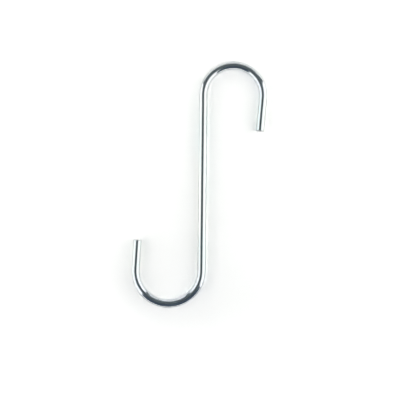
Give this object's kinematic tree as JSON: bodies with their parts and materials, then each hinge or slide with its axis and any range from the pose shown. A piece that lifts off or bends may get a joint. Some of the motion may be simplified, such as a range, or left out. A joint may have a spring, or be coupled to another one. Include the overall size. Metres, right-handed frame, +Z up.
{
  "type": "s hook",
  "caption": "Round wire bent to an S: an open hook at each end of a straight shank, one to go over a rail and one to carry what hangs from it.",
  "frame": {"origin": "under the middle of the hook's outline, on the surface that it lies on", "axes": "+Y along the straight shank towards the upper hook, +X towards the side that the upper hook opens on, +Z up from the surface through the wire"},
  "size_m": [0.065, 0.12, 0.004],
  "materials": {
    "plated_wire": "bright plated steel wire, smooth, with faint drawing lines along it"
  },
  "bodies": {
    "root": {"s_hook": "plated_wire"}
  },
  "joints": []
}
